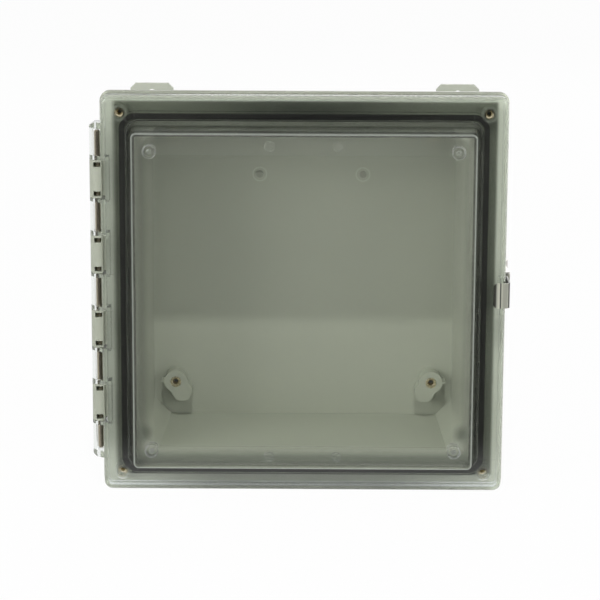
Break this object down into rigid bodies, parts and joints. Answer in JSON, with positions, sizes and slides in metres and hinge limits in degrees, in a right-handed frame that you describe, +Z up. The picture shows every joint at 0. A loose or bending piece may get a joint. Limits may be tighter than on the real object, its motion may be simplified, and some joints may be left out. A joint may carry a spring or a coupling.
{
  "type": "hinged enclosure",
  "caption": "Square wall-mounting polycarbonate enclosure with a clear raised hinged cover, perimeter gasket, interleaved hinge, stainless draw latch and screwed-on mounting feet.",
  "frame": {"origin": "centre of the four wall-screw holes, on the wall plane against which the backs of the mounting feet lie", "axes": "+X to the right seen from the front, +Y into the wall, +Z up; the clear cover faces -Y"},
  "size_m": [0.3225, 0.148, 0.3076],
  "materials": {
    "body_plastic": "fine moulded grain, light grey",
    "clear_plastic": "clear polycarbonate, polished",
    "gasket_rubber": "poured foam, black",
    "brass": "turned",
    "stainless": "bright rolled",
    "foot_plastic": "moulded, light grey",
    "zinc_screw": "zinc plated"
  },
  "bodies": {
    "enclosure": {"enclosure_body": "body_plastic", "hinge_pin": "stainless", "corner_insert_1": "brass", "corner_insert_2": "brass", "corner_insert_3": "brass", "corner_insert_4": "brass", "panel_insert_1": "brass", "panel_insert_2": "brass", "panel_insert_3": "brass", "panel_insert_4": "brass", "mounting_foot_1": "foot_plastic", "mounting_foot_2": "foot_plastic", "mounting_foot_3": "foot_plastic", "mounting_foot_4": "foot_plastic", "foot_screw_1": "zinc_screw", "foot_screw_2": "zinc_screw", "foot_screw_3": "zinc_screw", "foot_screw_4": "zinc_screw", "latch_base": "stainless", "latch_rivets": "stainless", "latch_pivot_pin": "stainless"},
    "cover": {"clear_cover": "clear_plastic", "gasket": "gasket_rubber"},
    "latch_lever": {"latch_lever": "stainless", "latch_claw_pin": "stainless"},
    "latch_claw": {"latch_claw": "stainless"}
  },
  "joints": [
    {"name": "door_hinge", "type": "hinge", "parent": "enclosure", "child": "cover", "pos_m": [-0.1553, -0.113, 0], "axis": [0, 0, -1], "range_deg": [0, 180]},
    {"name": "latch_lever_hinge", "type": "hinge", "parent": "enclosure", "child": "latch_lever", "pos_m": [0.1516, -0.08, 0.0018], "axis": [0, 0, -1], "range_deg": [0, 110]},
    {"name": "latch_claw_hinge", "type": "hinge", "parent": "latch_lever", "child": "latch_claw", "pos_m": [0.1568, -0.077, 0.0018], "axis": [0, 0, -1], "range_deg": [-132, 0]}
  ],
  "couplings": [
    {"joint": "latch_claw_hinge", "follows": "latch_lever_hinge", "ratio": -1.2}
  ]
}
